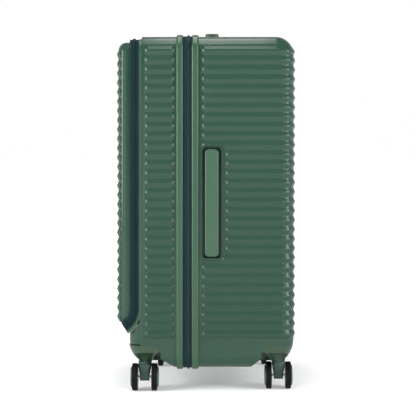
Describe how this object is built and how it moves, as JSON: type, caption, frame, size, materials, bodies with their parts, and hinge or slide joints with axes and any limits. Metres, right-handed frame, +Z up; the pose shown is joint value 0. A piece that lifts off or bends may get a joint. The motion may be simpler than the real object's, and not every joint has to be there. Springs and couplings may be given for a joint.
{
  "type": "hard shell suitcase",
  "caption": "Upright ribbed hard shell suitcase with a zipped front pocket, bumper frames, carry handles, telescopic trolley handle and twin-wheel swivel casters.",
  "frame": {"origin": "on the floor under the middle of the case, at the centre of its box", "axes": "+Z up, front pocket lid towards -Y, trolley handle at +Y, side carry handle at +X, opening hinge at -X"},
  "size_m": [0.432, 0.368, 0.743],
  "materials": {
    "shell": "glossy polycarbonate, fine satin texture",
    "bumper": "satin moulded trim",
    "zip_tape": "woven zip tape with a moulded coil",
    "lining": "thin woven lining",
    "tube": "satin anodised",
    "black_plastic": "fine spark texture",
    "housing": "fine spark texture",
    "fork": "fine spark texture",
    "wheel": "black tyre on a plastic hub",
    "handle_core": "soft touch",
    "handle_cover": "satin",
    "steel": "zinc plated",
    "lock": "satin moulding",
    "chrome": "polished",
    "puller": "satin paint on die casting",
    "foot": "hard rubber"
  },
  "bodies": {
    "rear_case": {"rear_shell": "shell", "rear_bumper": "bumper", "main_zip_rear": "zip_tape", "rear_lining": "lining", "trolley_housing": "black_plastic", "trolley_outer_tubes": "tube", "trolley_foot": "black_plastic", "handle_trays": "shell", "rear_caster_housings": "housing", "rear_fasteners": "steel", "rear_side_feet": "foot"},
    "front_case": {"front_shell": "shell", "front_bumper": "bumper", "main_zip_front": "zip_tape", "pocket_zip_case": "zip_tape", "front_divider": "lining", "front_caster_housings": "housing", "front_fasteners": "steel", "front_side_feet": "foot", "lock_body": "lock"},
    "pocket_lid": {"lid_shell": "shell", "pocket_zip_lid": "zip_tape", "lid_lining": "lining"},
    "trolley_middle": {"trolley_middle_tubes": "tube"},
    "trolley_top": {"trolley_inner_tubes": "tube", "trolley_grip": "black_plastic"},
    "trolley_button": {"trolley_button": "black_plastic"},
    "side_handle": {"side_handle_core": "handle_core", "side_handle_cover": "handle_cover"},
    "top_handle": {"top_handle_core": "handle_core", "top_handle_cover": "handle_cover"},
    "lock_button": {"lock_button": "lock"},
    "key_cylinder": {"key_cylinder": "chrome"},
    "lock_dial_1": {"lock_dial_1": "black_plastic"},
    "lock_dial_2": {"lock_dial_2": "black_plastic"},
    "lock_dial_3": {"lock_dial_3": "black_plastic"},
    "main_slider_1": {"main_slider_1": "puller"},
    "main_pull_1": {"main_pull_1": "puller"},
    "pocket_slider_1": {"pocket_slider_1": "puller"},
    "pocket_pull_1": {"pocket_pull_1": "puller"},
    "main_slider_2": {"main_slider_2": "puller"},
    "main_pull_2": {"main_pull_2": "puller"},
    "pocket_slider_2": {"pocket_slider_2": "puller"},
    "pocket_pull_2": {"pocket_pull_2": "puller"},
    "caster_front_left": {"caster_front_left_fork": "fork", "caster_front_left_pins": "steel"},
    "caster_front_left_wheel_fore": {"caster_front_left_wheel_fore": "wheel"},
    "caster_front_left_wheel_aft": {"caster_front_left_wheel_aft": "wheel"},
    "caster_front_right": {"caster_front_right_fork": "fork", "caster_front_right_pins": "steel"},
    "caster_front_right_wheel_fore": {"caster_front_right_wheel_fore": "wheel"},
    "caster_front_right_wheel_aft": {"caster_front_right_wheel_aft": "wheel"},
    "caster_rear_left": {"caster_rear_left_fork": "fork", "caster_rear_left_pins": "steel"},
    "caster_rear_left_wheel_fore": {"caster_rear_left_wheel_fore": "wheel"},
    "caster_rear_left_wheel_aft": {"caster_rear_left_wheel_aft": "wheel"},
    "caster_rear_right": {"caster_rear_right_fork": "fork", "caster_rear_right_pins": "steel"},
    "caster_rear_right_wheel_fore": {"caster_rear_right_wheel_fore": "wheel"},
    "caster_rear_right_wheel_aft": {"caster_rear_right_wheel_aft": "wheel"}
  },
  "joints": [
    {"name": "main_opening", "type": "hinge", "parent": "rear_case", "child": "front_case", "pos_m": [-0.2145, -0.036, 0.39], "axis": [0, 0, -1], "range_deg": [0, 180]},
    {"name": "pocket_opening", "type": "hinge", "parent": "front_case", "child": "pocket_lid", "pos_m": [0, -0.1695, 0.133], "axis": [1, 0, 0], "range_deg": [0, 100]},
    {"name": "trolley_lower_stage", "type": "slide", "parent": "rear_case", "child": "trolley_middle", "axis": [0, 0, 1], "range_m": [0, 0.17]},
    {"name": "trolley_upper_stage", "type": "slide", "parent": "trolley_middle", "child": "trolley_top", "axis": [0, 0, 1], "range_m": [0, 0.17]},
    {"name": "trolley_button_press", "type": "slide", "parent": "trolley_top", "child": "trolley_button", "axis": [0, 0, -1], "range_m": [0, 0.004], "stiffness_N_per_m": 400, "springref_m": -0.002},
    {"name": "side_handle_lift", "type": "slide", "parent": "rear_case", "child": "side_handle", "axis": [1, 0, 0], "range_m": [0, 0.018], "stiffness_N_per_m": 400, "springref_m": -0.004},
    {"name": "top_handle_lift", "type": "slide", "parent": "rear_case", "child": "top_handle", "axis": [0, 0, 1], "range_m": [0, 0.018], "stiffness_N_per_m": 400, "springref_m": -0.004},
    {"name": "lock_button_slide", "type": "slide", "parent": "front_case", "child": "lock_button", "axis": [0, 1, 0], "range_m": [0, 0.004], "stiffness_N_per_m": 300, "springref_m": -0.001},
    {"name": "key_turn", "type": "hinge", "parent": "front_case", "child": "key_cylinder", "pos_m": [0.022, -0.096, 0.73], "axis": [0, 0, 1], "range_deg": [0, 90]},
    {"name": "lock_dial_1_spin", "type": "hinge", "parent": "front_case", "child": "lock_dial_1", "pos_m": [-0.013, -0.096, 0.7275], "axis": [1, 0, 0], "continuous": true},
    {"name": "lock_dial_2_spin", "type": "hinge", "parent": "front_case", "child": "lock_dial_2", "pos_m": [-0.005, -0.096, 0.7275], "axis": [1, 0, 0], "continuous": true},
    {"name": "lock_dial_3_spin", "type": "hinge", "parent": "front_case", "child": "lock_dial_3", "pos_m": [0.003, -0.096, 0.7275], "axis": [1, 0, 0], "continuous": true},
    {"name": "main_slider_1_travel", "type": "slide", "parent": "rear_case", "child": "main_slider_1", "axis": [-1, 0, 0], "range_m": [0, 0.14]},
    {"name": "main_pull_1_fold", "type": "hinge", "parent": "main_slider_1", "child": "main_pull_1", "pos_m": [-0.034, -0.036, 0.7399], "axis": [0, 1, 0], "range_deg": [0, 180]},
    {"name": "pocket_slider_1_travel", "type": "slide", "parent": "front_case", "child": "pocket_slider_1", "axis": [-1, 0, 0], "range_m": [0, 0.14]},
    {"name": "pocket_pull_1_fold", "type": "hinge", "parent": "pocket_slider_1", "child": "pocket_pull_1", "pos_m": [-0.034, -0.1484, 0.7329], "axis": [0, 1, 0], "range_deg": [0, 180]},
    {"name": "main_slider_2_travel", "type": "slide", "parent": "rear_case", "child": "main_slider_2", "axis": [1, 0, 0], "range_m": [0, 0.14]},
    {"name": "main_pull_2_fold", "type": "hinge", "parent": "main_slider_2", "child": "main_pull_2", "pos_m": [0.034, -0.036, 0.7399], "axis": [0, -1, 0], "range_deg": [0, 180]},
    {"name": "pocket_slider_2_travel", "type": "slide", "parent": "front_case", "child": "pocket_slider_2", "axis": [1, 0, 0], "range_m": [0, 0.14]},
    {"name": "pocket_pull_2_fold", "type": "hinge", "parent": "pocket_slider_2", "child": "pocket_pull_2", "pos_m": [0.034, -0.1484, 0.7329], "axis": [0, -1, 0], "range_deg": [0, 180]},
    {"name": "caster_front_left_swivel", "type": "hinge", "parent": "front_case", "child": "caster_front_left", "pos_m": [-0.16, -0.127, 0.07], "axis": [0, 0, 1], "continuous": true},
    {"name": "caster_front_left_wheel_fore_spin", "type": "hinge", "parent": "caster_front_left", "child": "caster_front_left_wheel_fore", "pos_m": [-0.148, -0.127, 0.028], "axis": [0, 1, 0], "continuous": true},
    {"name": "caster_front_left_wheel_aft_spin", "type": "hinge", "parent": "caster_front_left", "child": "caster_front_left_wheel_aft", "pos_m": [-0.148, -0.127, 0.028], "axis": [0, 1, 0], "continuous": true},
    {"name": "caster_front_right_swivel", "type": "hinge", "parent": "front_case", "child": "caster_front_right", "pos_m": [0.16, -0.127, 0.07], "axis": [0, 0, 1], "continuous": true},
    {"name": "caster_front_right_wheel_fore_spin", "type": "hinge", "parent": "caster_front_right", "child": "caster_front_right_wheel_fore", "pos_m": [0.172, -0.127, 0.028], "axis": [0, 1, 0], "continuous": true},
    {"name": "caster_front_right_wheel_aft_spin", "type": "hinge", "parent": "caster_front_right", "child": "caster_front_right_wheel_aft", "pos_m": [0.172, -0.127, 0.028], "axis": [0, 1, 0], "continuous": true},
    {"name": "caster_rear_left_swivel", "type": "hinge", "parent": "rear_case", "child": "caster_rear_left", "pos_m": [-0.16, 0.1506, 0.07], "axis": [0, 0, 1], "continuous": true},
    {"name": "caster_rear_left_wheel_fore_spin", "type": "hinge", "parent": "caster_rear_left", "child": "caster_rear_left_wheel_fore", "pos_m": [-0.172, 0.1506, 0.028], "axis": [0, 1, 0], "continuous": true},
    {"name": "caster_rear_left_wheel_aft_spin", "type": "hinge", "parent": "caster_rear_left", "child": "caster_rear_left_wheel_aft", "pos_m": [-0.172, 0.1506, 0.028], "axis": [0, 1, 0], "continuous": true},
    {"name": "caster_rear_right_swivel", "type": "hinge", "parent": "rear_case", "child": "caster_rear_right", "pos_m": [0.16, 0.1506, 0.07], "axis": [0, 0, 1], "continuous": true},
    {"name": "caster_rear_right_wheel_fore_spin", "type": "hinge", "parent": "caster_rear_right", "child": "caster_rear_right_wheel_fore", "pos_m": [0.148, 0.1506, 0.028], "axis": [0, 1, 0], "continuous": true},
    {"name": "caster_rear_right_wheel_aft_spin", "type": "hinge", "parent": "caster_rear_right", "child": "caster_rear_right_wheel_aft", "pos_m": [0.148, 0.1506, 0.028], "axis": [0, 1, 0], "continuous": true}
  ]
}
